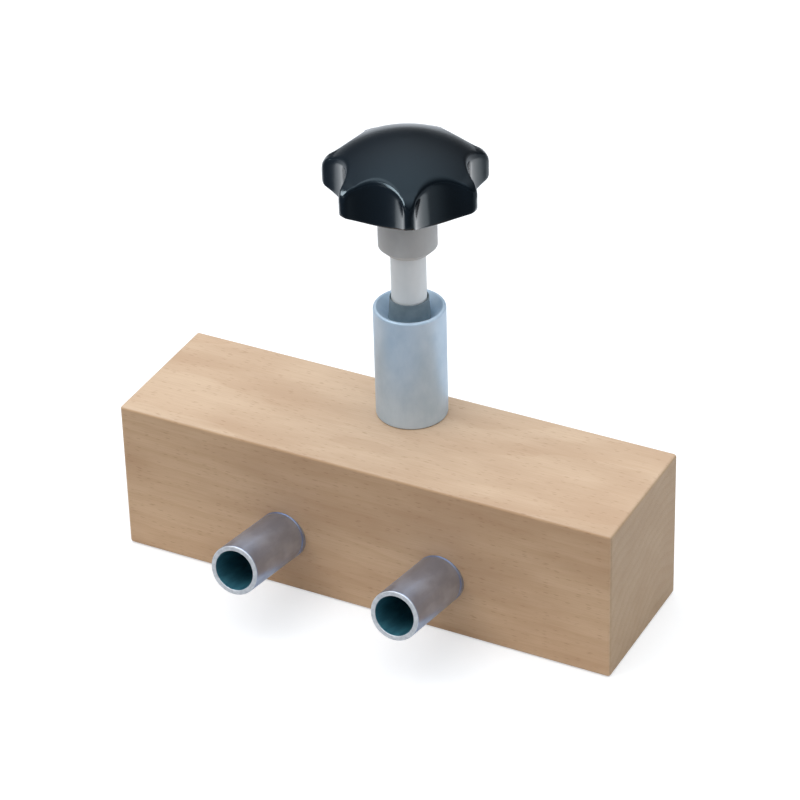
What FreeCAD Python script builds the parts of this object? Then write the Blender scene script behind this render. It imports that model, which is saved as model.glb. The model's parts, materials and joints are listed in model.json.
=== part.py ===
"""Plug-in hold-down block: a beech bar on two raked tube pins, with a screw spindle and star knob.

Frame: X along the bar, -Y towards the tube pins, +Z up. The origin is the centre of the bar's
underside. All sizes are in millimetres. Bodies that move past each other keep running_gap or
more, and pieces fixed to each other keep snug_gap where one sits inside the other.
"""
import FreeCAD, Part
import math
import os

# --- bar -----------------------------------------------------------------------------------
block_length = 200.0
block_depth = 58.5
block_height = 61.5
block_edge_radius = 1.2

# --- tube pins in the front face -------------------------------------------------------------
tube_diameter = 19.0
tube_wall = 1.9
tube_reach = 37.0          # from the front face to the mouth, along the tube's axis
tube_hold = 38.0           # length held inside the bar
tube_spacing = 65.0
tube_height = 23.5         # axis height where it leaves the front face
tube_rake = 11.0           # degrees that the mouths rise above square
tube_lip_radius = 0.4
root_relief_width = 1.2    # shallow groove that ends the bearing length near the bar
root_relief_depth = 0.25
root_relief_margin = 0.15  # between the groove and the wood where the tube leaves it
glue_groove_width = 1.5
glue_groove_depth = 0.4
glue_groove_count = 3
plug_length = 5.0
plug_step = 0.6            # radial step of the counterbore that the plug sits in
tube_screw_diameter = 4.0
tube_screw_head_diameter = 8.0
tube_screw_head_height = 2.3
tube_screw_rear_wood = 4.0 # wood left behind the screw's tip
tube_screw_tip = 4.0
screw_recess_width = 1.0
screw_recess_depth = 1.3

# --- spindle line ----------------------------------------------------------------------------
rear_wood = 3.5            # wood left between the pad's pocket and the rear face
thread_diameter = 12.0
stem_step = 0.5            # radial step from the thread up to the smooth stem
thread_pitch = 3.0
thread_depth = 1.5
thread_flank = 0.4         # axial width of one flank
knob_thread_relief = 0.05  # radial, knob thread under the spindle's thread
knob_thread_length = 17.0
travel_down = 18.0
travel_up = 3.0

# --- guide sleeve, bush and wiper --------------------------------------------------------------
bush_wall = 2.0
bush_to_nut_gap = 3.0
sleeve_wall = 4.9
sleeve_height = 45.5       # above the bar
sleeve_edge_radius = 1.0
spigot_wall = 2.5
spigot_length = 22.5
mouth_rim_wall = 1.2       # flat left between the countersink and the sleeve's outside
wiper_seat_depth = 6.0
wiper_wall = 1.0
wiper_tip_wall = 0.4
wiper_lip_rise = 4.0       # above the sleeve
wiper_clearance = 0.3      # radial, to the stem

# --- spindle nut and washer --------------------------------------------------------------------
nut_barrel_step = 0.5      # radial step from the nose to the barrel
nut_flange_overhang = 2.2
nut_flange_thickness = 3.5
nut_nose_grip = 14.0       # length of nose inside the sleeve's spigot
nut_nose_gap = 0.5         # between the nut's shoulder and the spigot's end
spanner_hole_diameter = 2.2
spanner_hole_depth = 2.0
washer_thickness = 1.0
pocket_side_gap = 0.3      # radial, between the pocket and the nut's flange
pocket_chamfer = 0.5

# --- swivel pad --------------------------------------------------------------------------------
pad_side_gap = 1.5         # radial, pad to pocket
pad_thickness = 8.0
pad_chamfer = 1.0
pad_floor = 2.0            # metal under the socket
pad_rest_gap = 1.0         # facing above the bar's underside at rest
facing_thickness = 2.0
facing_inset = 0.5
pad_head_gap = 1.5         # pad to nut at the top of the travel
pivot_diameter = 9.2
pivot_side_gap = 0.6       # radial, in the pad's socket
pivot_end_gap = 0.1
pivot_end_chamfer = 1.0
pivot_neck_gap = 1.5       # between the pad and the first thread
clip_thickness = 1.0
clip_groove_depth = 1.0    # in the pivot
clip_side_gap = 0.3
clip_rise = 3.7            # clip above the socket's floor
clip_hold = 0.8            # depth of the clip's groove in the pad
clip_opening = 50.0        # degrees

# --- collar and knob -----------------------------------------------------------------------------
collar_wall = 4.3
collar_height = 16.5
collar_chamfer = 2.5
collar_top_chamfer = 0.5
collar_lip_gap = 1.5       # collar to wiper at the bottom of the travel
grub_diameter = 5.0
grub_sink = 0.4            # below the collar's outside
grub_socket_radius = 1.45
grub_socket_depth = 1.8
knob_radius = 30.6
knob_lobes = 7
knob_lobe_angle = -60.8    # degrees from +X of the lobe that stands forward
knob_tip_radius = 2.2      # plan radius of a lobe's tip
knob_waist_radius = 22.7   # plan radius at the bottom of a scallop
knob_height = 29.0
knob_hub_wall = 4.0
knob_skirt_radius = 29.5   # underside meets the rim here
knob_skirt_height = 8.3
knob_rim_low = 10.0
knob_rim_high = 15.5
knob_shoulder_radius = 26.0
knob_shoulder_height = 20.4
knob_edge_radius = 0.9
knob_skirt_bulge = 0.15    # outward and down, of the arc between skirt and rim
knob_shoulder_bulge = 0.7  # outward and up, of the arc between rim and shoulder
knob_thread_chamfer = 1.0
insert_wall = 3.05
insert_height = 20.0
insert_groove_depth = 0.8
insert_groove_width = 5.0
insert_bore_depth = 18.5

# --- fits ----------------------------------------------------------------------------------------
snug_gap = 0.02            # radial, one fixed piece inside another
running_gap = 0.05         # radial, stem in bush
thread_gap = 0.10          # radial, spindle crest in nut bore
hole_bottom_gap = 0.2

overrun = 1.0              # how far a cutting shape runs past the face it opens

# --- places worked out from the sizes above --------------------------------------------------------
thread_radius = thread_diameter / 2.0
stem_radius = thread_radius + stem_step
knob_thread_radius = thread_radius - knob_thread_relief
pivot_radius = pivot_diameter / 2.0
bush_radius = stem_radius + bush_wall
sleeve_radius = bush_radius + sleeve_wall
spigot_radius = bush_radius + spigot_wall
mouth_radius = stem_radius + wiper_clearance + wiper_wall
wiper_tip_radius = stem_radius + wiper_clearance + wiper_tip_wall
nut_barrel_radius = bush_radius + nut_barrel_step
nut_flange_radius = nut_barrel_radius + nut_flange_overhang
pocket_radius = nut_flange_radius + pocket_side_gap
pad_radius = pocket_radius - pad_side_gap
collar_radius = stem_radius + collar_wall
insert_radius = knob_thread_radius + insert_wall
knob_hub_radius = insert_radius + knob_hub_wall

front_y = -block_depth / 2.0
rear_y = block_depth / 2.0
spindle_y = rear_y - rear_wood - pocket_radius

pad_bottom_z = pad_rest_gap + facing_thickness
pad_top_z = pad_bottom_z + pad_thickness
nut_bottom_z = pad_top_z + travel_up + pad_head_gap
flange_top_z = nut_bottom_z + nut_flange_thickness
pocket_top_z = flange_top_z + washer_thickness
spigot_bottom_z = block_height - spigot_length
nut_top_z = spigot_bottom_z + nut_nose_grip
stem_bottom_z = nut_top_z + travel_down + bush_to_nut_gap
bush_bottom_z = nut_top_z + bush_to_nut_gap
sleeve_top_z = block_height + sleeve_height
mouth_rim_radius = sleeve_radius - mouth_rim_wall
mouth_cone_depth = mouth_rim_radius - mouth_radius
mouth_seat_z = sleeve_top_z - mouth_cone_depth
bush_top_z = mouth_seat_z - wiper_seat_depth
wiper_tip_z = sleeve_top_z + wiper_lip_rise
collar_bottom_z = wiper_tip_z + travel_down + collar_lip_gap
knob_bottom_z = collar_bottom_z + collar_height

socket_floor_z = pad_bottom_z + pad_floor
clip_z = socket_floor_z + clip_rise
tube_radius = tube_diameter / 2.0
tube_bore_radius = tube_radius - tube_wall
plug_radius = tube_bore_radius + plug_step
rake_radians = math.radians(tube_rake)
root_relief_start = tube_radius * math.tan(rake_radians) + root_relief_margin
tube_screw_bite = (block_depth - tube_screw_rear_wood) / math.cos(rake_radians) - tube_hold

UP = FreeCAD.Vector(0, 0, 1)


def point(x, y, z):
    return FreeCAD.Vector(x, y, z)


def rod(radius, bottom, top, x=0.0):
    return Part.makeCylinder(radius, top - bottom, point(x, 0, bottom), UP)


def cone(bottom_radius, top_radius, bottom, top):
    return Part.makeCone(bottom_radius, top_radius, top - bottom, point(0, 0, bottom), UP)


def turned(profile):
    """Solid of revolution about Z from (radius, height) corners, closed in order."""
    corners = [point(radius, 0, height) for radius, height in profile]
    corners.append(corners[0])
    face = Part.Face(Part.makePolygon(corners))
    return face.revolve(point(0, 0, 0), UP, 360)


def on_spindle(shape):
    """Move a piece made about the Z axis to the spindle's axis."""
    shape.translate(point(0, spindle_y, 0))
    return shape


def on_tube(shape, side):
    """Move a piece made about +Z, with the front face at z = 0, to a tube's axis."""
    turn = FreeCAD.Rotation(point(1, 0, 0), 90.0 - tube_rake)
    place = point(side * tube_spacing / 2.0, front_y, tube_height)
    shape.Placement = FreeCAD.Placement(place, turn)
    return shape


def round_edges(shape, radius, wanted):
    edges = [edge for edge in shape.Edges if wanted(edge)]
    return shape.makeFillet(radius, edges)


# --- bar -------------------------------------------------------------------------------------------
def tube_hole():
    past_face = tube_radius
    hole = rod(tube_radius + snug_gap, -tube_hold - hole_bottom_gap, past_face)
    pilot = rod(tube_screw_diameter / 2.0 + snug_gap, -tube_hold - tube_screw_bite, -tube_hold)
    return hole.fuse(pilot)


def block():
    corner = point(-block_length / 2.0, front_y, 0)
    bar = Part.makeBox(block_length, block_depth, block_height, corner)
    bar = bar.makeFillet(block_edge_radius, bar.Edges)
    spigot_hole = rod(spigot_radius + snug_gap, spigot_bottom_z, block_height + overrun)
    barrel_hole = rod(nut_barrel_radius + snug_gap, pocket_top_z - overrun, spigot_bottom_z)
    pocket = rod(pocket_radius, -overrun, pocket_top_z)
    lead_in = cone(pocket_radius + pocket_chamfer, pocket_radius, 0, pocket_chamfer)
    for cut in (spigot_hole, barrel_hole, pocket, lead_in):
        bar = bar.cut(on_spindle(cut))
    for side in (-1, 1):
        bar = bar.cut(on_tube(tube_hole(), side))
    return bar


# --- tube pins -------------------------------------------------------------------------------------
def tube_pin(side):
    tube = rod(tube_radius, -tube_hold, tube_reach)
    tube = tube.cut(rod(tube_bore_radius, -tube_hold, tube_reach))
    tube = tube.cut(rod(plug_radius, -tube_hold, -tube_hold + plug_length))
    tube = round_edges(tube, tube_lip_radius, lambda edge: edge.BoundBox.ZMin > tube_reach / 2.0)
    grooves = [(root_relief_start, root_relief_width, root_relief_depth)]
    for index in range(glue_groove_count):
        start = -tube_hold * (index + 1) / (glue_groove_count + 1)
        grooves.append((start, glue_groove_width, glue_groove_depth))
    for start, width, depth in grooves:
        ring = rod(tube_radius + overrun, start, start + width)
        ring = ring.cut(rod(tube_radius - depth, start, start + width))
        tube = tube.cut(ring)
    return on_tube(tube, side)


def tube_plug(side):
    shank = tube_screw_diameter / 2.0 + snug_gap
    head = tube_screw_head_diameter / 2.0 + snug_gap
    top = -tube_hold + plug_length
    plug = rod(plug_radius - snug_gap, -tube_hold, top)
    plug = plug.cut(rod(shank, -tube_hold, top))
    plug = plug.cut(cone(shank, head, top - tube_screw_head_height, top))
    return on_tube(plug, side)


def tube_screw(side):
    shank = tube_screw_diameter / 2.0
    head = tube_screw_head_diameter / 2.0
    top = -tube_hold + plug_length
    end = -tube_hold - tube_screw_bite
    neck = top - tube_screw_head_height
    screw = turned([(0, end), (shank, end + tube_screw_tip), (shank, neck), (head, top), (0, top)])
    for turn in (0, 90):
        slot = Part.makeBox(head, screw_recess_width, screw_recess_depth,
                            point(-head / 2.0, -screw_recess_width / 2.0, top - screw_recess_depth))
        slot.rotate(point(0, 0, 0), UP, turn)
        screw = screw.cut(slot)
    return on_tube(screw, side)


def tube_screws():
    return Part.makeCompound([tube_screw(-1), tube_screw(1)])


# --- guide sleeve ------------------------------------------------------------------------------------
def guide_sleeve():
    body = rod(sleeve_radius, block_height, sleeve_top_z)
    body = round_edges(body, sleeve_edge_radius, lambda edge: len(edge.Vertexes) == 1)
    body = body.fuse(rod(spigot_radius, spigot_bottom_z, block_height + sleeve_edge_radius))
    body = body.cut(rod(bush_radius, spigot_bottom_z - overrun, bush_top_z))
    body = body.cut(rod(mouth_radius, bush_top_z, sleeve_top_z))
    body = body.cut(cone(mouth_radius, mouth_rim_radius, mouth_seat_z, sleeve_top_z))
    return on_spindle(body.removeSplitter())


def guide_bush():
    bush = rod(bush_radius - snug_gap, bush_bottom_z, bush_top_z)
    bush = bush.cut(rod(stem_radius + running_gap, bush_bottom_z, bush_top_z))
    return on_spindle(bush)


def wiper_ring():
    bore = stem_radius + wiper_clearance
    seat = mouth_radius - snug_gap
    tip = wiper_tip_radius
    profile = [(bore, bush_top_z), (seat, bush_top_z), (seat, mouth_seat_z),
               (tip, wiper_tip_z), (bore, wiper_tip_z)]
    return on_spindle(turned(profile))


# --- spindle nut -------------------------------------------------------------------------------------
def spindle_nut():
    flange = nut_flange_radius
    barrel = nut_barrel_radius
    nose = bush_radius - snug_gap
    bore = thread_radius + thread_gap
    shoulder_z = spigot_bottom_z - nut_nose_gap
    profile = [(bore, nut_bottom_z), (flange, nut_bottom_z), (flange, flange_top_z),
               (barrel, flange_top_z), (barrel, shoulder_z), (nose, shoulder_z),
               (nose, nut_top_z), (bore, nut_top_z)]
    nut = turned(profile)
    hole_circle = (flange + bore) / 2.0
    for side in (-1, 1):
        hole = rod(spanner_hole_diameter / 2.0, nut_bottom_z, nut_bottom_z + spanner_hole_depth,
                   side * hole_circle)
        nut = nut.cut(hole)
    return on_spindle(nut)


def nut_washer():
    washer = rod(nut_flange_radius, flange_top_z, pocket_top_z)
    bore = rod(nut_barrel_radius + snug_gap, flange_top_z, pocket_top_z)
    return on_spindle(washer.cut(bore))


# --- spindle -----------------------------------------------------------------------------------------
def thread_profile(bottom, top):
    """Ridges of the trapezoidal thread, drawn as rings one pitch apart."""
    root = thread_radius - thread_depth
    flat = (thread_pitch - 2.0 * thread_flank) / 2.0
    ridges = int((top - bottom) / thread_pitch)
    corners = []
    for index in range(ridges):
        start = bottom + index * thread_pitch
        corners.append((root, start))
        corners.append((thread_radius, start + thread_flank))
        corners.append((thread_radius, start + thread_flank + flat))
        corners.append((root, start + 2.0 * thread_flank + flat))
    corners.append((root, top))
    return corners


def spindle():
    end_z = socket_floor_z + pivot_end_gap
    thread_z = pad_top_z + pivot_neck_gap
    groove_low = clip_z - clip_side_gap
    groove_high = clip_z + clip_thickness + clip_side_gap
    groove = pivot_radius - clip_groove_depth
    knob_thread = knob_thread_radius
    knob_thread_top = knob_bottom_z + knob_thread_length
    profile = [(0, end_z), (pivot_radius - pivot_end_chamfer, end_z),
               (pivot_radius, end_z + pivot_end_chamfer), (pivot_radius, groove_low),
               (groove, groove_low), (groove, groove_high),
               (pivot_radius, groove_high), (pivot_radius, thread_z)]
    profile += thread_profile(thread_z, stem_bottom_z)
    profile += [(stem_radius, stem_bottom_z), (stem_radius, knob_bottom_z),
                (knob_thread, knob_bottom_z), (knob_thread, knob_thread_top - knob_thread_chamfer),
                (knob_thread - knob_thread_chamfer, knob_thread_top), (0, knob_thread_top)]
    return on_spindle(turned(profile))


# --- swivel pad --------------------------------------------------------------------------------------
def pressure_pad():
    pad = pad_radius
    socket = pivot_radius + pivot_side_gap
    profile = [(0, pad_bottom_z), (pad, pad_bottom_z), (pad, pad_top_z - pad_chamfer),
               (pad - pad_chamfer, pad_top_z), (socket, pad_top_z),
               (socket, clip_z + clip_thickness), (socket + clip_hold, clip_z + clip_thickness),
               (socket + clip_hold, clip_z), (socket, clip_z),
               (socket, socket_floor_z), (0, socket_floor_z)]
    return on_spindle(turned(profile))


def pad_clip():
    outer = pivot_radius + pivot_side_gap + clip_hold - snug_gap
    inner = pivot_radius - clip_groove_depth + clip_side_gap
    face = Part.makePolygon([point(inner, 0, clip_z), point(outer, 0, clip_z),
                             point(outer, 0, clip_z + clip_thickness),
                             point(inner, 0, clip_z + clip_thickness), point(inner, 0, clip_z)])
    ring = Part.Face(face).revolve(point(0, 0, 0), UP, 360.0 - clip_opening)
    return on_spindle(ring)


def pad_facing():
    return on_spindle(rod(pad_radius - facing_inset, pad_rest_gap, pad_bottom_z))


# --- collar and knob -----------------------------------------------------------------------------------
def collar():
    outer = collar_radius
    bore = stem_radius + snug_gap
    profile = [(bore, collar_bottom_z), (outer - collar_chamfer, collar_bottom_z),
               (outer, collar_bottom_z + collar_chamfer),
               (outer, knob_bottom_z - collar_top_chamfer),
               (outer - collar_top_chamfer, knob_bottom_z), (bore, knob_bottom_z)]
    ring = turned(profile)
    middle_z = (collar_bottom_z + knob_bottom_z) / 2.0
    hole = Part.makeCylinder(grub_diameter / 2.0 + snug_gap, outer, point(0, 0, middle_z),
                             point(0, 1, 0))
    return on_spindle(ring.cut(hole))


def collar_grub_screw():
    middle_z = (collar_bottom_z + knob_bottom_z) / 2.0
    start = stem_radius + snug_gap
    end = collar_radius - grub_sink
    screw = Part.makeCylinder(grub_diameter / 2.0, end - start, point(0, start, middle_z),
                              point(0, 1, 0))
    corners = []
    sides = 6
    for index in range(sides + 1):
        angle = 2.0 * math.pi * index / sides
        corners.append(point(grub_socket_radius * math.cos(angle), end - grub_socket_depth,
                             middle_z + grub_socket_radius * math.sin(angle)))
    socket = Part.Face(Part.makePolygon(corners)).extrude(point(0, grub_socket_depth + overrun, 0))
    return on_spindle(screw.cut(socket))


def knob_outline():
    """Seven tip arcs joined by seven scallop arcs, all tangent."""
    half_step = math.pi / knob_lobes
    tip_centre = knob_radius - knob_tip_radius
    reach = tip_centre * math.cos(half_step)
    above = 2.0 * knob_waist_radius * reach - knob_waist_radius ** 2
    above += knob_tip_radius ** 2 - tip_centre ** 2
    scallop_radius = above / (2.0 * (knob_waist_radius - reach - knob_tip_radius))
    scallop_centre = knob_waist_radius + scallop_radius

    def polar(radius, angle):
        return point(radius * math.cos(angle), radius * math.sin(angle), 0)

    edges = []
    for index in range(knob_lobes):
        lobe = math.radians(knob_lobe_angle) + 2.0 * half_step * index
        centre = polar(tip_centre, lobe)
        before = polar(scallop_centre, lobe - half_step)
        after = polar(scallop_centre, lobe + half_step)
        start = centre + (before - centre).normalize() * knob_tip_radius
        end = centre + (after - centre).normalize() * knob_tip_radius
        next_centre = polar(tip_centre, lobe + 2.0 * half_step)
        next_start = next_centre + (after - next_centre).normalize() * knob_tip_radius
        edges.append(Part.Arc(start, polar(knob_radius, lobe), end).toShape())
        edges.append(Part.Arc(end, polar(knob_waist_radius, lobe + half_step), next_start).toShape())
    return Part.Face(Part.Wire(edges))


def knob_turning():
    """Turned blank of the knob: hub, cone underside, rim and domed top."""
    z = knob_bottom_z
    top = point(0, 0, z + knob_height)
    hub = point(knob_hub_radius, 0, z)
    skirt = point(knob_skirt_radius, 0, z + knob_skirt_height)
    rim_low = point(knob_radius, 0, z + knob_rim_low)
    rim_high = point(knob_radius, 0, z + knob_rim_high)
    shoulder = point(knob_shoulder_radius, 0, z + knob_shoulder_height)
    dome_mid_radius = knob_shoulder_radius / 2.0
    dome_drop = (knob_height - knob_shoulder_height) / 4.0
    dome_mid = point(dome_mid_radius, 0, z + knob_height - dome_drop)
    skirt_mid = (skirt + rim_low) * 0.5
    skirt_mid += point(knob_skirt_bulge, 0, -knob_skirt_bulge)
    shoulder_mid = (rim_high + shoulder) * 0.5
    shoulder_mid += point(knob_shoulder_bulge, 0, knob_shoulder_bulge)
    edges = [Part.LineSegment(point(0, 0, z), hub).toShape(),
             Part.LineSegment(hub, skirt).toShape(),
             Part.Arc(skirt, skirt_mid, rim_low).toShape(),
             Part.LineSegment(rim_low, rim_high).toShape(),
             Part.Arc(rim_high, shoulder_mid, shoulder).toShape(),
             Part.Arc(shoulder, dome_mid, top).toShape(),
             Part.LineSegment(top, point(0, 0, z)).toShape()]
    return Part.Face(Part.Wire(edges)).revolve(point(0, 0, 0), UP, 360)


def insert_profile(gap):
    outer = insert_radius + gap
    waist = outer - insert_groove_depth
    low = knob_bottom_z + (insert_height - insert_groove_width) / 2.0 + gap
    high = low + insert_groove_width - 2.0 * gap
    top = knob_bottom_z + insert_height + gap
    return [(0, knob_bottom_z), (outer, knob_bottom_z), (outer, low), (waist, low),
            (waist, high), (outer, high), (outer, top), (0, top)]


def knob_insert():
    bore = rod(knob_thread_radius + snug_gap, knob_bottom_z, knob_bottom_z + insert_bore_depth)
    return on_spindle(turned(insert_profile(0.0)).cut(bore))


def is_top_rim(edge):
    """True for an edge where a scallop or tip wall runs out through the top of the knob."""
    middle = edge.valueAt((edge.FirstParameter + edge.LastParameter) / 2.0)
    at_the_side = math.hypot(middle.x, middle.y) > (knob_waist_radius + knob_hub_radius) / 2.0
    in_upper_half = edge.BoundBox.ZMin > knob_bottom_z + knob_height / 2.0
    return at_the_side and in_upper_half


def star_knob():
    prism = knob_outline().extrude(point(0, 0, knob_height))
    prism.translate(point(0, 0, knob_bottom_z))
    knob = knob_turning().common(prism)
    knob = round_edges(knob, knob_edge_radius, is_top_rim)
    knob = knob.cut(turned(insert_profile(snug_gap)))
    return on_spindle(knob)


PIECES = {
    "block": block,
    "left_tube_pin": lambda: tube_pin(-1),
    "right_tube_pin": lambda: tube_pin(1),
    "left_tube_plug": lambda: tube_plug(-1),
    "right_tube_plug": lambda: tube_plug(1),
    "tube_screws": tube_screws,
    "guide_sleeve": guide_sleeve,
    "guide_bush": guide_bush,
    "wiper_ring": wiper_ring,
    "spindle_nut": spindle_nut,
    "nut_washer": nut_washer,
    "spindle": spindle,
    "pressure_pad": pressure_pad,
    "pad_clip": pad_clip,
    "pad_facing": pad_facing,
    "collar": collar,
    "collar_grub_screw": collar_grub_screw,
    "star_knob": star_knob,
    "knob_insert": knob_insert,
}

os.makedirs("parts", exist_ok=True)
for name, make in PIECES.items():
    shape = make()
    shape.exportStep("parts/" + name + ".step")
    box = shape.BoundBox
    print(f"{name:20s} valid {shape.isValid()} solids {len(shape.Solids)} volume {shape.Volume:10.1f}"
          f"  z {box.ZMin:7.2f} to {box.ZMax:7.2f}")
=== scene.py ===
import json
import math

import bmesh
import bpy
from mathutils import Matrix, Vector


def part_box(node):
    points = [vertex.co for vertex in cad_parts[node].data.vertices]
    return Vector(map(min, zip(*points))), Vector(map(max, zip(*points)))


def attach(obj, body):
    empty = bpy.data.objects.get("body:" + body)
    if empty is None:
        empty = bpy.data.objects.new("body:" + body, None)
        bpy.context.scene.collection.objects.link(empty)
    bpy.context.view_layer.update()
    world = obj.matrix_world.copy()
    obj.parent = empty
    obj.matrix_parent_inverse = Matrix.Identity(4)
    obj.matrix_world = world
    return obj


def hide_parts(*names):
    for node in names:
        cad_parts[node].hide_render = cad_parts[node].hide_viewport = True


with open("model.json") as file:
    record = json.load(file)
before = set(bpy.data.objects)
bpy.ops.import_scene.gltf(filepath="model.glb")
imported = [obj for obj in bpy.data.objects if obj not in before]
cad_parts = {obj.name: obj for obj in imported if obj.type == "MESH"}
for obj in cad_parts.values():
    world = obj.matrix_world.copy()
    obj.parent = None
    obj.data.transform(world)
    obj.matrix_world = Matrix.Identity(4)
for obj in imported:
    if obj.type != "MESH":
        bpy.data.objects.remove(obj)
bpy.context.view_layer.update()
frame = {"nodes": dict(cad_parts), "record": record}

MM = 0.001
SEGMENTS = 128
ON_AXIS = 1e-6  # a smaller radius is a single point on the axis
mounts = {mount["name"]: mount for mount in frame["record"]["mounts"]}
block_low, block_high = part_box("block")
sleeve_low, sleeve_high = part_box("guide_sleeve")
wiper_low, wiper_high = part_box("wiper_ring")
facing_low, facing_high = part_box("pad_facing")
knob_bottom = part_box("star_knob")[0].z
SPINDLE_Y = (sleeve_low.y + sleeve_high.y) / 2


# --- mesh helpers ------------------------------------------------------------------------------
def swung(start, end, share):
    """The flat vector start, turned this share of the way to end."""
    turn = math.atan2(start.x * end.y - start.y * end.x, start.dot(end)) * share
    return Vector((start.x * math.cos(turn) - start.y * math.sin(turn),
                   start.x * math.sin(turn) + start.y * math.cos(turn)))


def rounded(profile, steps=6, support=0.06):
    """Profile of (radius, height, rounding) corners with each rounding drawn as an arc.

    A support point stands this far outside each end of the arc, which keeps the flats flat.
    """
    points = []
    last = len(profile) - 1
    for index, (radius, height, rounding) in enumerate(profile):
        here = Vector((radius, height))
        if rounding == 0:
            points.append(here)
            continue
        before = Vector(profile[index - 1][:2]) - here
        after = Vector(profile[0 if index == last else index + 1][:2]) - here
        half = before.angle(after) / 2
        reach = rounding / math.tan(half)
        start = here + before.normalized() * reach
        end = here + after.normalized() * reach
        bisector = (before.normalized() + after.normalized()).normalized()
        centre = here + bisector * rounding / math.sin(half)
        if before.length > reach + 2 * support:
            points.append(start + before.normalized() * support)
        for step in range(steps + 1):
            points.append(centre + swung(start - centre, end - centre, step / steps))
        if after.length > reach + 2 * support:
            points.append(end + after.normalized() * support)
    return points


def ring_of(mesh, points, start=0.0, base=0.0):
    """Closed ring of vertices about Z, with a (radius, height) point in millimetres for each."""
    ring = []
    for column, (radius, height) in enumerate(points):
        angle = start + 2 * math.pi * column / len(points)
        ring.append(mesh.verts.new((radius * math.cos(angle) * MM, radius * math.sin(angle) * MM,
                                    base + height * MM)))
    return ring


def turned(name, points, closed=False, segments=SEGMENTS):
    """Mesh turned about Z from (radius, height) points in millimetres."""
    mesh = bmesh.new()
    rings = []
    for radius, height in points:
        if radius < ON_AXIS:
            rings.append([mesh.verts.new((0, 0, height * MM))])
        else:
            rings.append(ring_of(mesh, [(radius, height)] * segments))
    pairs = list(zip(rings, rings[1:]))
    if closed:
        pairs.append((rings[-1], rings[0]))
    join_rings(mesh, pairs, segments)
    return finished(name, mesh)


def join_rings(mesh, pairs, segments):
    """Faces between each pair of rings, where a ring of one vertex closes to a fan."""
    for low, high in pairs:
        for step in range(segments):
            after = (step + 1) % segments
            if len(low) == 1 and len(high) == 1:
                continue
            if len(low) == 1:
                mesh.faces.new((low[0], high[step], high[after]))
            elif len(high) == 1:
                mesh.faces.new((low[step], low[after], high[0]))
            else:
                mesh.faces.new((low[step], low[after], high[after], high[step]))


def finished(name, mesh, sharp=40):
    """Object from a bmesh, smooth except across edges sharper than the angle in degrees."""
    bmesh.ops.recalc_face_normals(mesh, faces=mesh.faces)
    data = bpy.data.meshes.new(name)
    mesh.to_mesh(data)
    mesh.free()
    data.polygons.foreach_set("use_smooth", [True] * len(data.polygons))
    data.set_sharp_from_angle(angle=math.radians(sharp))
    piece = bpy.data.objects.new(name, data)
    bpy.context.scene.collection.objects.link(piece)
    return piece


def on_spindle(piece):
    """Moves a piece turned about Z to the spindle's axis."""
    piece.location = (0, SPINDLE_Y, 0)
    return piece


def stands_for(piece, node, body, slot, *materials):
    """Gives the piece its materials and ties it to the CAD node that it stands for."""
    for material in materials:
        piece.data.materials.append(material)
    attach(piece, body)
    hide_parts(node)


# --- material helpers ----------------------------------------------------------------------------
class Nodes:
    """Short calls for adding and joining the nodes of one tree."""

    def __init__(self, tree):
        self.tree = tree

    def node(self, kind, inputs=(), **settings):
        made = self.tree.nodes.new(kind)
        for key, value in settings.items():
            setattr(made, key, value)
        for key, value in dict(inputs).items():
            if isinstance(value, bpy.types.NodeSocket):
                self.tree.links.new(value, made.inputs[key])
            else:
                made.inputs[key].default_value = value
        return made

    def math(self, operation, *values):
        return self.node("ShaderNodeMath", enumerate(values), operation=operation).outputs[0]


class Look(Nodes):
    """A material, with the settings given for its shader's own sockets."""

    def __init__(self, name, **settings):
        self.material = bpy.data.materials.new(name)
        self.material.use_nodes = True
        super().__init__(self.material.node_tree)
        self.shader = self.tree.nodes["Principled BSDF"]
        for socket, value in settings.items():
            self.shader.inputs[socket.replace("_", " ")].default_value = value
        coordinates = self.node("ShaderNodeTexCoord").outputs
        self.place = coordinates["Object"]
        self.facing = coordinates["Normal"]

    def scaled(self, x, y, z):
        """Coordinates in which one unit is x, y and z millimetres along the three axes."""
        stretch = (1 / (x * MM), 1 / (y * MM), 1 / (z * MM))
        return self.node("ShaderNodeVectorMath", {0: self.place, 1: stretch},
                         operation="MULTIPLY").outputs[0]

    def noise(self, coordinates, detail=2.0, roughness=0.5):
        """Noise with features about as large as the stretch of its coordinates."""
        return self.node("ShaderNodeTexNoise", {"Vector": coordinates, "Scale": 1.0, "Detail": detail,
                                                "Roughness": roughness}).outputs["Fac"]

    def ramp(self, value, low, high, to_low=0.0, to_high=1.0):
        """Maps low..high smoothly to to_low..to_high."""
        made = self.node("ShaderNodeMapRange", {"Value": value, "From Min": low, "From Max": high,
                                                "To Min": to_low, "To Max": to_high},
                         interpolation_type="SMOOTHSTEP")
        return made.outputs["Result"]

    def mix(self, factor, first, second, blend="MIX"):
        """Blends two colours by a factor of 0 to 1."""
        made = self.node("ShaderNodeMix", data_type="RGBA", blend_type=blend)
        for index, value in ((0, factor), (6, first), (7, second)):
            if isinstance(value, bpy.types.NodeSocket):
                self.tree.links.new(value, made.inputs[index])
            else:
                made.inputs[index].default_value = value
        return made.outputs[2]

    def bump(self, height, distance, strength):
        """Normals from a height of 0 to 1 that stands this many millimetres proud."""
        return self.node("ShaderNodeBump", {"Height": height, "Distance": distance * MM,
                                            "Strength": strength}).outputs["Normal"]

    def set(self, **sources):
        """Joins outputs to the shader's sockets and gives back the finished material."""
        for socket, source in sources.items():
            self.tree.links.new(source, self.shader.inputs[socket.replace("_", " ")])
        return self.material


def shade(red, green, blue):
    """Linear colour from display values of 0 to 255."""
    linear = [((value / 255 + 0.055) / 1.055) ** 2.4 for value in (red, green, blue)]
    return (*linear, 1.0)


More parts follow.
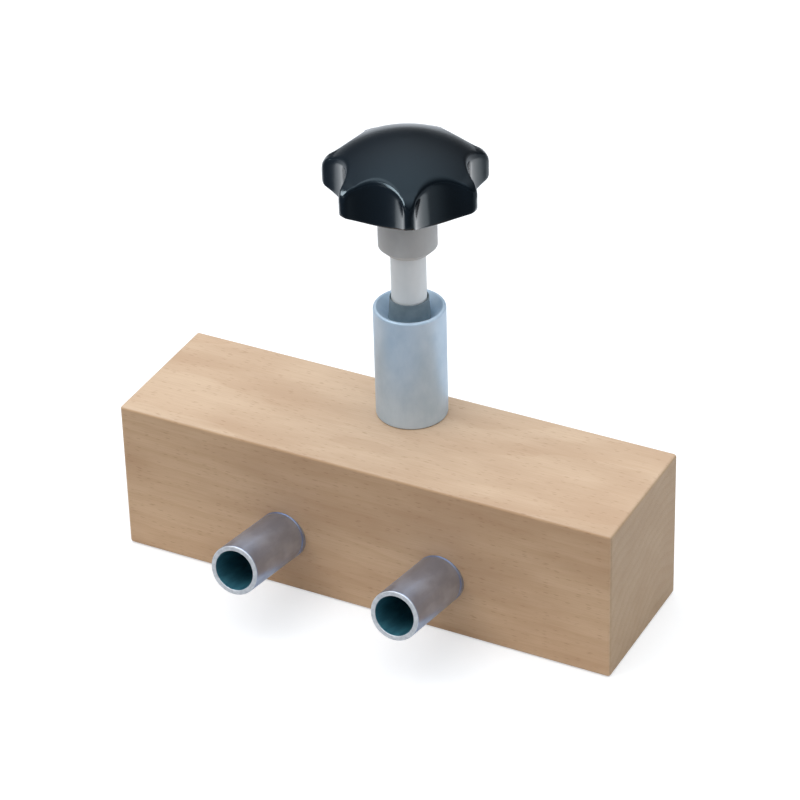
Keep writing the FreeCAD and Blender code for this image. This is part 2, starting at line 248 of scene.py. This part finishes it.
# --- wood ------------------------------------------------------------------------------------------
PITH_Y, PITH_Z = 46.0, -118.0   # the growth rings' middle, behind and below the bar
RING_WIDTH = 5.2
RING_BEND, RING_WANDER = 10.0, 34.0  # how far the rings stray, over short and long stretches
SIDE_PAINTED_SHADE = (0.96, 0.87, 0.75, 1)    # painted shade: multiplies the colour of the front and back faces, darker and warmer than the top


def beech():
    """Solid beech: growth rings about a pith below the bar, ray flecks, fibres and end grain, with painted
    shade on the front and back faces.
    """
    look = Look("beech")
    bend = look.noise(look.scaled(90, 24, 24), detail=3.0)
    wander = look.noise(look.scaled(260, 70, 70), detail=1.0)
    split = look.node("ShaderNodeSeparateXYZ", {0: look.scaled(1, 1, 1)})
    across = look.math("SUBTRACT", split.outputs[1], PITH_Y)
    up = look.math("SUBTRACT", split.outputs[2], PITH_Z)
    radius = look.math("SQRT", look.math("ADD", look.math("MULTIPLY", across, across),
                                         look.math("MULTIPLY", up, up)))
    radius = look.math("ADD", radius, look.math("MULTIPLY", bend, RING_BEND))
    radius = look.math("ADD", radius, look.math("MULTIPLY", wander, RING_WANDER))
    ring = look.math("FRACT", look.math("DIVIDE", radius, RING_WIDTH))
    late = look.ramp(ring, 0.35, 0.97)
    early = look.ramp(ring, 0.97, 1.0, 1.0, 0.0)
    late = look.math("MULTIPLY", late, early)
    cells = look.node("ShaderNodeTexVoronoi", {"Vector": look.scaled(4.2, 0.75, 0.75),
                                               "Scale": 1.0, "Randomness": 1.0})
    fleck = look.ramp(cells.outputs["Distance"], 0.34, 0.14)
    keep = look.node("ShaderNodeSeparateColor", {0: cells.outputs["Color"]}).outputs[0]
    fleck = look.math("MULTIPLY", fleck, look.ramp(keep, 0.35, 0.75))
    fibre = look.noise(look.scaled(14, 0.32, 0.32), detail=3.0, roughness=0.65)
    cloud = look.noise(look.scaled(55, 16, 16), detail=3.0, roughness=0.55)
    normal = look.node("ShaderNodeSeparateXYZ", {0: look.facing})
    end = look.ramp(look.math("ABSOLUTE", normal.outputs[0]), 0.6, 0.9)
    # mask of the front and back faces, which take the painted shade below
    side = look.ramp(look.math("ABSOLUTE", normal.outputs[1]), 0.5, 0.9)

    colour = look.mix(look.ramp(cloud, 0.3, 0.7), shade(203, 171, 141), shade(219, 190, 160))
    ring_show = look.math("ADD", look.math("MULTIPLY", end, 0.22), 0.15)
    colour = look.mix(look.math("MULTIPLY", late, ring_show), colour, shade(184, 142, 108))
    colour = look.mix(look.ramp(fibre, 0.38, 0.72, 0.0, 0.26), colour, shade(186, 150, 116))
    colour = look.mix(look.math("MULTIPLY", fleck, 0.36), colour, shade(158, 112, 80))
    colour = look.mix(look.math("MULTIPLY", end, 0.62), colour, shade(172, 141, 102))
    pore = look.noise(look.scaled(3, 0.2, 0.2), detail=2.0, roughness=0.6)
    pore = look.math("MULTIPLY", look.ramp(pore, 0.52, 0.66), look.math("MULTIPLY", end, 0.3))
    colour = look.mix(pore, colour, shade(118, 84, 60))
    # painted shade: the front and back faces are multiplied darker and warmer than the top
    colour = look.mix(side, colour, SIDE_PAINTED_SHADE, "MULTIPLY")
    grain = look.math("ADD", look.math("MULTIPLY", fibre, 0.6), look.math("MULTIPLY", fleck, -0.4))
    rough = look.ramp(fibre, 0.3, 0.7, 0.46, 0.6)
    return look.set(Base_Color=colour, Roughness=rough, Normal=look.bump(grain, 0.05, 0.5))


# --- metals ----------------------------------------------------------------------------------------
def zinc_tube():
    """Bright zinc plate over drawn tube, with faint lines along the tube."""
    look = Look("zinc_tube", Metallic=0.92)
    cloud = look.noise(look.scaled(9, 9, 16), detail=4.0, roughness=0.6)
    line = look.noise(look.scaled(0.5, 0.5, 26), detail=3.0, roughness=0.6)
    colour = look.mix(look.ramp(cloud, 0.35, 0.7), shade(168, 181, 208), shade(192, 204, 226))
    rough = look.math("ADD", look.ramp(cloud, 0.3, 0.75, 0.28, 0.38),
                      look.ramp(line, 0.4, 0.7, 0.0, 0.08))
    return look.set(Base_Color=colour, Roughness=rough, Normal=look.bump(line, 0.012, 0.35))


def dark_bore():
    """Inside of a tube: dark blue-green, with a cloudy tone."""
    look = Look("dark_bore", Metallic=0.5)
    cloud = look.noise(look.scaled(3, 3, 11), detail=4.0, roughness=0.65)
    colour = look.mix(look.ramp(cloud, 0.3, 0.75), shade(56, 118, 138), shade(84, 150, 166))
    rough = look.ramp(cloud, 0.3, 0.7, 0.42, 0.58)
    return look.set(Base_Color=colour, Roughness=rough, Normal=look.bump(cloud, 0.05, 0.4))


def cut_face():
    """Bright cut end of a tube."""
    look = Look("cut_face", Metallic=0.35)
    cloud = look.noise(look.scaled(1.6, 1.6, 1.6), detail=4.0, roughness=0.65)
    colour = look.mix(look.ramp(cloud, 0.3, 0.7), shade(206, 209, 214), shade(232, 234, 237))
    rough = look.ramp(cloud, 0.3, 0.7, 0.3, 0.45)
    return look.set(Base_Color=colour, Roughness=rough, Normal=look.bump(cloud, 0.02, 0.4))


def plated_sleeve():
    """Blue-white zinc over a turned surface: rings round the sleeve and a cloudy tint."""
    look = Look("plated_sleeve", Metallic=0.42)
    cloud = look.noise(look.scaled(11, 11, 19), detail=4.0, roughness=0.55)
    ring = look.noise(look.scaled(60, 60, 0.22), detail=2.0, roughness=0.6)
    colour = look.mix(look.ramp(cloud, 0.32, 0.7), shade(184, 208, 228), shade(208, 226, 242))
    rough = look.math("ADD", look.ramp(cloud, 0.3, 0.7, 0.36, 0.48),
                      look.ramp(ring, 0.4, 0.7, 0.0, 0.08))
    return look.set(Base_Color=colour, Roughness=rough, Normal=look.bump(ring, 0.01, 0.5))


def ground_steel(name, low, high, roughness, metallic=1.0):
    """Steel with turning or grinding marks round the Z axis."""
    look = Look(name, Metallic=metallic)
    cloud = look.noise(look.scaled(8, 8, 14), detail=3.0)
    ring = look.noise(look.scaled(40, 40, 0.3), detail=2.0, roughness=0.6)
    colour = look.mix(look.ramp(cloud, 0.3, 0.7), shade(*low), shade(*high))
    rough = look.math("ADD", look.ramp(cloud, 0.3, 0.7, roughness, roughness + 0.08),
                      look.ramp(ring, 0.4, 0.7, 0.0, 0.08))
    return look.set(Base_Color=colour, Roughness=rough, Normal=look.bump(ring, 0.015, 0.5))


def knob_plastic():
    """Glossy black plastic with a trace of orange peel and handling marks."""
    look = Look("knob_plastic", IOR=1.36, Specular_IOR_Level=0.42,
                Specular_Tint=(0.68, 0.88, 1.0, 1.0))
    cloud = look.noise(look.scaled(12, 12, 12), detail=4.0, roughness=0.6)
    peel = look.noise(look.scaled(1.3, 1.3, 1.3), detail=1.0)
    colour = look.mix(cloud, shade(3, 9, 14), shade(7, 14, 21))
    rough = look.ramp(cloud, 0.35, 0.75, 0.12, 0.22)
    return look.set(Base_Color=colour, Roughness=rough, Normal=look.bump(peel, 0.01, 0.25))


def rubber():
    """Grey rubber of the wiper, slightly grainy."""
    look = Look("rubber")
    grain = look.noise(look.scaled(0.25, 0.25, 0.25), detail=3.0, roughness=0.6)
    cloud = look.noise(look.scaled(4, 4, 4), detail=2.0)
    colour = look.mix(cloud, shade(92, 108, 117), shade(138, 154, 162))
    rough = look.ramp(grain, 0.3, 0.7, 0.4, 0.55)
    return look.set(Base_Color=colour, Roughness=rough, Normal=look.bump(grain, 0.03, 0.4))


def bronze():
    """Turned bronze with a cloudy tarnish."""
    look = Look("bronze", Metallic=1.0)
    cloud = look.noise(look.scaled(5, 5, 5), detail=4.0, roughness=0.6)
    ring = look.noise(look.scaled(40, 40, 0.3), detail=2.0)
    colour = look.mix(look.ramp(cloud, 0.3, 0.7), shade(150, 112, 62), shade(196, 158, 96))
    rough = look.ramp(cloud, 0.3, 0.7, 0.28, 0.42)
    return look.set(Base_Color=colour, Roughness=rough, Normal=look.bump(ring, 0.015, 0.5))


def leather():
    """Brown leather with a pebbled grain."""
    look = Look("leather")
    cells = look.node("ShaderNodeTexVoronoi", {"Vector": look.scaled(0.55, 0.55, 0.55), "Scale": 1.0})
    pebble = cells.outputs["Distance"]
    cloud = look.noise(look.scaled(5, 5, 5), detail=3.0)
    colour = look.mix(look.ramp(cloud, 0.3, 0.7), shade(120, 82, 52), shade(152, 108, 72))
    colour = look.mix(look.ramp(pebble, 0.45, 0.8, 0.0, 0.4), colour, shade(84, 54, 34))
    rough = look.ramp(cloud, 0.3, 0.7, 0.6, 0.78)
    return look.set(Base_Color=colour, Roughness=rough, Normal=look.bump(pebble, 0.08, 0.5))


looks = {
    "beech": beech(),
    "tube_steel": zinc_tube(),
    "sleeve_steel": plated_sleeve(),
    "spindle_steel": ground_steel("spindle_steel", (236, 239, 239), (244, 246, 246), 0.5, metallic=0.06),
    "collar_metal": ground_steel("collar_metal", (196, 195, 193), (208, 207, 205), 0.5, metallic=0.12),
    "inner_steel": ground_steel("inner_steel", (120, 122, 126), (160, 162, 166), 0.34),
    "pad_steel": ground_steel("pad_steel", (168, 170, 174), (200, 202, 205), 0.3),
    "knob_black": knob_plastic(),
    "wiper_rubber": rubber(),
    "bronze": bronze(),
    "facing_leather": leather(),
    "tube_bore": dark_bore(),
    "tube_cut": cut_face(),
}

# --- every CAD node takes the look of its material slot ---------------------------------------------
for node in frame["nodes"].values():
    for index, material in enumerate(node.data.materials):
        node.data.materials[index] = looks[material.name.split(".")[0]]


# --- tube pins ---------------------------------------------------------------------------------------
TUBE_REACH, TUBE_HOLD = 37.0, 38.0   # length outside the bar and inside it
MOUNT_INSET = 0.4                    # from the end of the pin's mount to the tube's mouth
GROOVE_START, GROOVE_WIDTH, GROOVE_DEPTH = 2.0, 1.2, 0.25   # round the tube, next to the bar
PLUG_SEAT_LENGTH, PLUG_SEAT_STEP = 5.0, 0.6                 # counterbore for the plug
BORE_SLOT, CUT_SLOT = 1, 2
BORE_BAND, CUT_BAND = 0.3, 1.0       # how near to the bore or the mouth its faces lie


def tube_pin(side):
    """Plated tube along the axis of its pin mount, with a dark bore and a bright cut mouth."""
    pin = mounts[side + "_pin"]
    outer = pin["dims"]["r_mm"]
    inner = mounts[side + "_tube_bore"]["dims"]["r_mm"]
    mouth = pin["dims"]["length_mm"] / 2 + MOUNT_INSET
    tail = mouth - TUBE_REACH - TUBE_HOLD
    groove_low = mouth - TUBE_REACH + GROOVE_START
    groove_high = groove_low + GROOVE_WIDTH
    seat = tail + PLUG_SEAT_LENGTH
    profile = [(outer, tail, 0.3), (outer, groove_low, 0), (outer - GROOVE_DEPTH, groove_low, 0),
               (outer - GROOVE_DEPTH, groove_high, 0), (outer, groove_high, 0), (outer, mouth, 0.55),
               (inner, mouth, 0.4), (inner, seat, 0), (inner + PLUG_SEAT_STEP, seat, 0),
               (inner + PLUG_SEAT_STEP, tail, 0)]
    piece = turned(side + "_tube", rounded(profile), closed=True)
    for look in ("tube_steel", "tube_bore", "tube_cut"):
        piece.data.materials.append(looks[look])
    for polygon in piece.data.polygons:
        middle = polygon.center / MM
        if polygon.normal.z > 0.5 and middle.z > mouth - CUT_BAND:
            polygon.material_index = CUT_SLOT
        elif math.hypot(middle.x, middle.y) < inner + BORE_BAND:
            polygon.material_index = BORE_SLOT
    turn = Vector((0, 0, 1)).rotation_difference(Vector(pin["axis"]))
    piece.matrix_world = Matrix.Translation(Vector(pin["pos_m"])) @ turn.to_matrix().to_4x4()
    stands_for(piece, side + "_tube_pin", "base", "tube_steel")


for side in ("left", "right"):
    tube_pin(side)


# --- guide sleeve and wiper --------------------------------------------------------------------------
SPIGOT_RADIUS = 11.0                       # the sleeve's foot inside the bar
RIM_WALL = 1.2                             # flat rim round the mouth's 45 degree cone
WIPER_SEAT_RADIUS, WIPER_SEAT_DEPTH = 7.8, 6.0
BUSH_SEAT_RADIUS = 8.5
WIPER_BORE, WIPER_TIP_RADIUS, WIPER_GAP = 6.8, 7.2, 0.02


def guide_sleeve(cone_foot):
    """Turned sleeve standing on the bar, with a coned mouth down to this height."""
    foot, top, bar_top = sleeve_low.z / MM, sleeve_high.z / MM, block_high.z / MM
    radius = (sleeve_high.x - sleeve_low.x) / 2 / MM
    seat_foot = cone_foot - WIPER_SEAT_DEPTH
    profile = [(SPIGOT_RADIUS, foot, 0.3), (SPIGOT_RADIUS, bar_top, 0), (radius, bar_top, 0.8),
               (radius, top, 0.9), (radius - RIM_WALL, top, 0.25),
               (WIPER_SEAT_RADIUS, cone_foot, 0.2), (WIPER_SEAT_RADIUS, seat_foot, 0),
               (BUSH_SEAT_RADIUS, seat_foot, 0), (BUSH_SEAT_RADIUS, foot, 0)]
    piece = on_spindle(turned("guide_sleeve_turned", rounded(profile), closed=True, segments=160))
    stands_for(piece, "guide_sleeve", "base", "sleeve_steel", looks["sleeve_steel"])


def wiper_ring(cone_foot):
    """Rubber ring that fills its seat and thins to a lip above the mouth."""
    foot, tip = wiper_low.z / MM, wiper_high.z / MM
    profile = [(WIPER_BORE, foot, 0), (WIPER_SEAT_RADIUS - WIPER_GAP, foot, 0),
               (WIPER_SEAT_RADIUS - WIPER_GAP, cone_foot, 0.3), (WIPER_TIP_RADIUS, tip, 0.17),
               (WIPER_BORE, tip, 0.17)]
    piece = on_spindle(turned("wiper_lip", rounded(profile), closed=True))
    stands_for(piece, "wiper_ring", "base", "wiper_rubber", looks["wiper_rubber"])


mouth_depth = (sleeve_high.x - sleeve_low.x) / 2 / MM - RIM_WALL - WIPER_SEAT_RADIUS
mouth_foot = sleeve_high.z / MM - mouth_depth
guide_sleeve(mouth_foot)
wiper_ring(mouth_foot)


# --- star knob -----------------------------------------------------------------------------------------
KNOB_RADIUS, KNOB_WAIST, KNOB_TIP, KNOB_LOBES = 30.6, 22.7, 2.2, 7
KNOB_LOBE_ANGLE = math.radians(-60.8)
KNOB_TOP_ROUNDING, KNOB_LOW_ROUNDING = 2.3, 0.9
TOP_ROUNDING_SHARE, LOW_ROUNDING_SHARE = 0.3, 0.2   # the most of the wall that a rounding takes
# (radius, height) points of the turned blank, above the knob's hub
DOME_MIDDLE, DOME_HALFWAY, DOME_EDGE = (0, 29.0), (13.0, 26.85), (26.0, 20.4)
SHOULDER, RIM_TOP = (29.25, 18.3), (KNOB_RADIUS, 14.6)
HUB_EDGE, SKIRT_EDGE = (13.0, 0), (29.5, 8.3)
RIM_FOOT, RIM_LOW = (30.2, 9.0), (KNOB_RADIUS, 10.0)
# The socket for the threaded insert, narrower where it fills the insert's groove
SOCKET_RADIUS, SOCKET_WAIST, SOCKET_DEPTH = 9.02, 8.22, 20.02
WAIST_LOW, WAIST_HIGH = 7.48, 12.52
KNOB_COLUMNS = KNOB_LOBES * 56
CROWN_POINTS, UNDER_POINTS = 44, 24


def knob_reach(angle):
    """Plan radius of the knob at an angle: tip arcs joined by tangent scallop arcs."""
    half_step = math.pi / KNOB_LOBES
    turn = abs((angle - KNOB_LOBE_ANGLE + half_step) % (2 * half_step) - half_step)
    tip = KNOB_RADIUS - KNOB_TIP
    reach = tip * math.cos(half_step)
    above = 2 * KNOB_WAIST * reach - KNOB_WAIST ** 2 + KNOB_TIP ** 2 - tip ** 2
    scallop = above / (2 * (KNOB_WAIST - reach - KNOB_TIP))
    far = KNOB_WAIST + scallop
    # The tip and the scallop meet on the line between their centres.
    tip_centre = Vector((tip, 0))
    far_centre = Vector((far * math.cos(half_step), far * math.sin(half_step)))
    meeting = tip_centre + (far_centre - tip_centre).normalized() * KNOB_TIP
    if turn <= math.atan2(meeting.y, meeting.x):
        return tip * math.cos(turn) + math.sqrt(KNOB_TIP ** 2 - (tip * math.sin(turn)) ** 2)
    off = half_step - turn
    return far * math.cos(off) - math.sqrt(scallop ** 2 - (far * math.sin(off)) ** 2)


def arc_through(first, middle, last, steps):
    """Points on the circle through three points of a plane."""
    (ax, ay), (bx, by), (cx, cy) = first, middle, last
    twice = 2 * (ax * (by - cy) + bx * (cy - ay) + cx * (ay - by))
    a2, b2, c2 = ax * ax + ay * ay, bx * bx + by * by, cx * cx + cy * cy
    centre = Vector(((a2 * (by - cy) + b2 * (cy - ay) + c2 * (ay - by)) / twice,
                     (a2 * (cx - bx) + b2 * (ax - cx) + c2 * (bx - ax)) / twice))
    start, end = Vector(first) - centre, Vector(last) - centre
    return [centre + swung(start, end, step / steps) for step in range(steps + 1)]


def crown_curve():
    """Top of the turned blank, from the middle out and down to the rim."""
    dome = arc_through(DOME_MIDDLE, DOME_HALFWAY, DOME_EDGE, 60)
    return dome + arc_through(DOME_EDGE, SHOULDER, RIM_TOP, 16)[1:]


def under_curve():
    """Underside of the turned blank, from the hub out and up to the rim."""
    hub, edge = Vector(HUB_EDGE), Vector(SKIRT_EDGE)
    skirt = [hub.lerp(edge, step / 30) for step in range(31)]
    return skirt + arc_through(SKIRT_EDGE, RIM_FOOT, RIM_LOW, 6)[1:]


def cut_at(curve, reach):
    """The part of a curve inside this radius, ending exactly on it."""
    kept = [curve[0]]
    for before, after in zip(curve, curve[1:]):
        if after.x >= reach:
            share = (reach - before.x) / max(after.x - before.x, 1e-9)
            kept.append(before.lerp(after, min(1.0, share)))
            return kept
        kept.append(after)
    return kept


def spread(points, count):
    """The same line drawn with count points, evenly spaced."""
    lengths = [0.0]
    for before, after in zip(points, points[1:]):
        lengths.append(lengths[-1] + (after - before).length)
    result, index = [], 0
    for step in range(count):
        want = lengths[-1] * step / (count - 1)
        while index < len(points) - 2 and lengths[index + 1] < want:
            index += 1
        span = lengths[index + 1] - lengths[index]
        share = (want - lengths[index]) / span if span > 1e-9 else 0.0
        result.append(points[index].lerp(points[index + 1], share))
    return result


def shortened(points, amount):
    """A line with this length taken off its end."""
    kept = list(points)
    while len(kept) > 2 and (kept[-1] - kept[-2]).length <= amount:
        amount -= (kept[-1] - kept[-2]).length
        kept.pop()
    away = (kept[-1] - kept[-2]).normalized()
    kept[-1] = kept[-1] - away * amount
    return kept


def soft_corner(first, corner, last, steps):
    """Curve from first to last that bends at the corner, tangent to both sides."""
    points = []
    for step in range(1, steps):
        share = step / steps
        points.append(first.lerp(corner, share).lerp(corner.lerp(last, share), share))
    return points


def knob_section(angle):
    """(radius, height) points of the knob at one angle, from the top's middle to the hub."""
    reach = knob_reach(angle)
    crown = cut_at(crown_curve(), reach)
    under = cut_at(under_curve(), reach)
    corner_high, corner_low = crown[-1].copy(), under[-1].copy()
    wall = corner_high.y - corner_low.y
    top_trim = min(KNOB_TOP_ROUNDING, wall * TOP_ROUNDING_SHARE)
    low_trim = min(KNOB_LOW_ROUNDING, wall * LOW_ROUNDING_SHARE)
    crown = shortened(crown, top_trim)
    under = shortened(under, low_trim)
    wall_top = corner_high - Vector((0, top_trim))
    wall_low = corner_low + Vector((0, low_trim))
    side = [wall_top.lerp(wall_low, step / 12) for step in range(13)]
    section = spread(crown, CROWN_POINTS)
    section += soft_corner(crown[-1], corner_high, wall_top, 8)
    section += side
    section += soft_corner(wall_low, corner_low, under[-1], 6)
    section += spread(under, UNDER_POINTS)[::-1]
    return section


def star_knob():
    """Lobed knob lofted through its sections, with the insert's socket cut up into the hub."""
    sections = [knob_section(KNOB_LOBE_ANGLE + 2 * math.pi * column / KNOB_COLUMNS)
                for column in range(KNOB_COLUMNS)]
    rows = list(zip(*sections))
    for corner in ((SOCKET_RADIUS, 0.0), (SOCKET_RADIUS, WAIST_LOW), (SOCKET_WAIST, WAIST_LOW),
                   (SOCKET_WAIST, WAIST_HIGH), (SOCKET_RADIUS, WAIST_HIGH),
                   (SOCKET_RADIUS, SOCKET_DEPTH)):
        rows.append([corner] * KNOB_COLUMNS)
    mesh = bmesh.new()
    rings = [[mesh.verts.new((0, 0, knob_bottom + rows[0][0].y * MM))]]
    rings += [ring_of(mesh, row, KNOB_LOBE_ANGLE, knob_bottom) for row in rows[1:]]
    rings.append([mesh.verts.new((0, 0, knob_bottom + SOCKET_DEPTH * MM))])
    join_rings(mesh, list(zip(rings, rings[1:])), KNOB_COLUMNS)
    return on_spindle(finished("star_knob_moulded", mesh, sharp=50))


knob = star_knob()
stands_for(knob, "star_knob", "spindle", "knob_black", looks["knob_black"])


# --- leather facing ------------------------------------------------------------------------------------
facing_radius = (facing_high.x - facing_low.x) / 2 / MM
facing_profile = [(0, facing_low.z / MM, 0), (facing_radius, facing_low.z / MM, 0.6),
                  (facing_radius, facing_high.z / MM, 0.2), (0, facing_high.z / MM, 0)]
facing = on_spindle(turned("leather_facing", rounded(facing_profile)))
stands_for(facing, "pad_facing", "pad", "facing_leather", looks["facing_leather"])


# --- floor, light and camera -----------------------------------------------------------------------------
FLOOR_FRONT = (0.24, 0.24, 0.25, 1)      # what the object reflects, ahead of the bar
FLOOR_BACK = (0.80, 0.81, 0.83, 1)       # and behind it
FLOOR_FADE = (-240.0, 20.0)              # along Y, from the one to the other
FLOOR_SEEN, FLOOR_GLOW = (0.62, 0.62, 0.62, 1), 0.48   # what the camera sees
FLOOR_RADIUS, FLOOR_DROP = 6.0, 0.0002   # in metres


def studio_floor():
    """Plain floor, white to the camera and a grey that darkens to the front in reflections."""
    look = Look("studio_floor", Roughness=0.9, Specular_IOR_Level=0.0,
                Emission_Color=(1, 1, 1, 1))
    seen = look.node("ShaderNodeLightPath").outputs["Is Camera Ray"]
    back = look.node("ShaderNodeSeparateXYZ", {0: look.scaled(1, 1, 1)}).outputs[1]
    reflected = look.mix(look.ramp(back, *FLOOR_FADE), FLOOR_FRONT, FLOOR_BACK)
    colour = look.mix(seen, reflected, FLOOR_SEEN)
    glow = look.math("MULTIPLY", seen, FLOOR_GLOW)
    mesh = bmesh.new()
    bmesh.ops.create_circle(mesh, cap_ends=True, segments=64, radius=FLOOR_RADIUS)
    floor = finished("studio_floor", mesh)
    floor.location.z = block_low.z - FLOOR_DROP
    floor.data.materials.append(look.set(Base_Color=colour, Emission_Strength=glow))


def softbox(name, place, target, width, height, power, colour=(1, 1, 1)):
    """Rectangular lamp at a place in metres, aimed at the target."""
    data = bpy.data.lights.new(name, "AREA")
    data.shape = "RECTANGLE"
    data.size = width
    data.size_y = height
    data.energy = power
    data.color = colour
    lamp = bpy.data.objects.new(name, data)
    bpy.context.scene.collection.objects.link(lamp)
    lamp.location = place
    lamp.rotation_mode = "QUATERNION"
    lamp.rotation_quaternion = (Vector(target) - Vector(place)).to_track_quat("-Z", "Y")
    return lamp


def only_on(lamp, piece):
    """Lets a lamp light this piece alone."""
    lit = bpy.data.collections.new(lamp.name + "_lit")
    lit.objects.link(piece)
    lamp.light_linking.receiver_collection = lit


BANK_HEIGHT = 0.002   # in metres, just above the floor


def low_bank(name, place, width, height, turn, power):
    """Small bank lying face up on the floor, which the sides of the knob mirror."""
    lamp = softbox(name, (*place, BANK_HEIGHT), (0, 0, 1), width, height, power)
    lamp.rotation_mode = "XYZ"
    lamp.rotation_euler = (math.pi, 0, math.radians(turn))
    lamp.visible_camera = False
    only_on(lamp, knob)


SKY_COLOUR = (0.90, 0.95, 1.0, 1)
SKY_LOW, SKY_GAIN, SKY_HORIZON = 0.03, 2.6, 0.55
SKY_FOCUS, HORIZON_FOCUS = 2.6, 6.0


def overhead_sky():
    """Soft light, strongest from straight above, with a fainter band at the horizon."""
    world = bpy.data.worlds.new("studio_world")
    world.use_nodes = True
    sky = Nodes(world.node_tree)
    way = sky.node("ShaderNodeTexCoord").outputs["Generated"]
    above = sky.math("MAXIMUM", sky.node("ShaderNodeSeparateXYZ", {0: way}).outputs["Z"], 0.0)
    overhead = sky.math("POWER", above, SKY_FOCUS)
    horizon = sky.math("POWER", sky.math("SUBTRACT", 1.0, above), HORIZON_FOCUS)
    haze = sky.math("MULTIPLY_ADD", horizon, SKY_HORIZON, SKY_LOW)
    strength = sky.math("MULTIPLY_ADD", overhead, SKY_GAIN, haze)
    background = sky.tree.nodes["Background"]
    background.inputs["Color"].default_value = SKY_COLOUR
    sky.tree.links.new(strength, background.inputs["Strength"])
    bpy.context.scene.world = world


def studio_lamps():
    """A large key and a faint warm fill for everything, and three banks for the knob alone."""
    softbox("key_softbox", (-1.1, -0.9, 2.3), (0, 0, 0.05), 1.1, 1.1, 10.5)
    softbox("front_fill", (-0.9, -2.0, 0.3), (0, 0, 0.05), 0.5, 0.3, 1.0, (1, 0.88, 0.76))
    only_on(softbox("rim_bank", (-0.86, -0.70, 0.72), (0, 0, 0.16), 0.9, 0.62, 36), knob)
    low_bank("low_bank_right", (0.13, 0.21), 0.36, 0.18, -20, 0.42)
    low_bank("low_bank_left", (-0.29, 0.06), 0.30, 0.20, 80, 0.34)


CAMERA_PLACE = Vector((0.5063, -0.9502, 0.7694))
CAMERA_AIM = Vector((-0.0039, 0.0122, 0.0662))
CAMERA_ROLL = math.radians(-1.63)
LENS, SENSOR, NEAR_CLIP = 158.1, 36.0, 0.05


def studio_camera():
    """Camera in front of the bar, above it and to its right, looking at its middle."""
    data = bpy.data.cameras.new("camera")
    data.lens = LENS
    data.sensor_width = SENSOR
    data.clip_start = NEAR_CLIP
    camera = bpy.data.objects.new("camera", data)
    bpy.context.scene.collection.objects.link(camera)
    turn = (CAMERA_AIM - CAMERA_PLACE).to_track_quat("-Z", "Y").to_matrix().to_4x4()
    camera.matrix_world = Matrix.Translation(CAMERA_PLACE) @ turn @ Matrix.Rotation(CAMERA_ROLL, 4, "Z")
    bpy.context.scene.camera = camera
    bpy.context.scene.view_settings.view_transform = "Standard"


studio_floor()
overhead_sky()
studio_lamps()
studio_camera()
